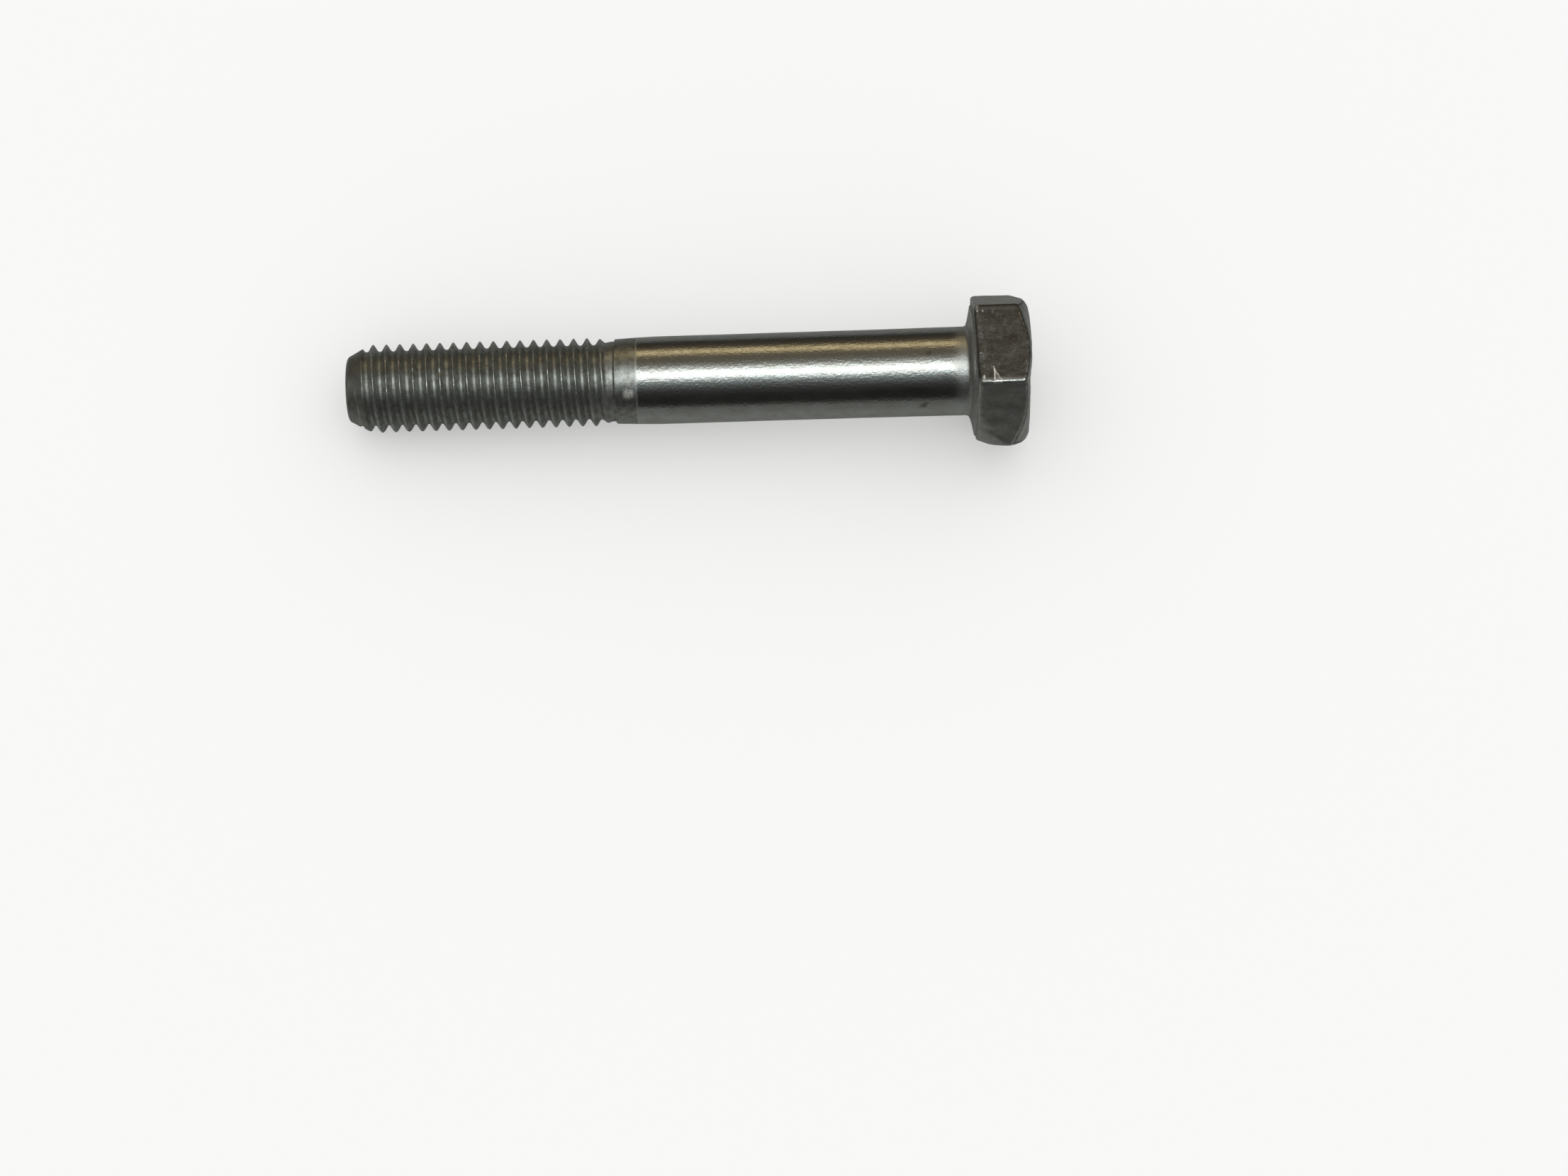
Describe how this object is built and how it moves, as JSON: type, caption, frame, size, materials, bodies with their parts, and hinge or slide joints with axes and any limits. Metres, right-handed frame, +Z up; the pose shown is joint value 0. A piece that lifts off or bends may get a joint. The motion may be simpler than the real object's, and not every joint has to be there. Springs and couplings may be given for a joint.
{
  "type": "hex bolt",
  "caption": "Metric hexagon-head bolt, M10 by 70 mm, partly threaded, with a plain shank and a thin washer face under the head.",
  "frame": {"origin": "centre of the bearing face under the head, on the bolt's axis", "axes": "+X along the bolt's axis towards the top of the head, the tip at -X; +Z up, with one flat of the head facing down along -Z"},
  "size_m": [0.0763, 0.0182, 0.0158],
  "materials": {
    "zinc_plated_steel": "dull bright zinc plate over forged steel, worn to bare metal along the edges"
  },
  "bodies": {
    "root": {"hex_bolt": "zinc_plated_steel"}
  },
  "joints": []
}
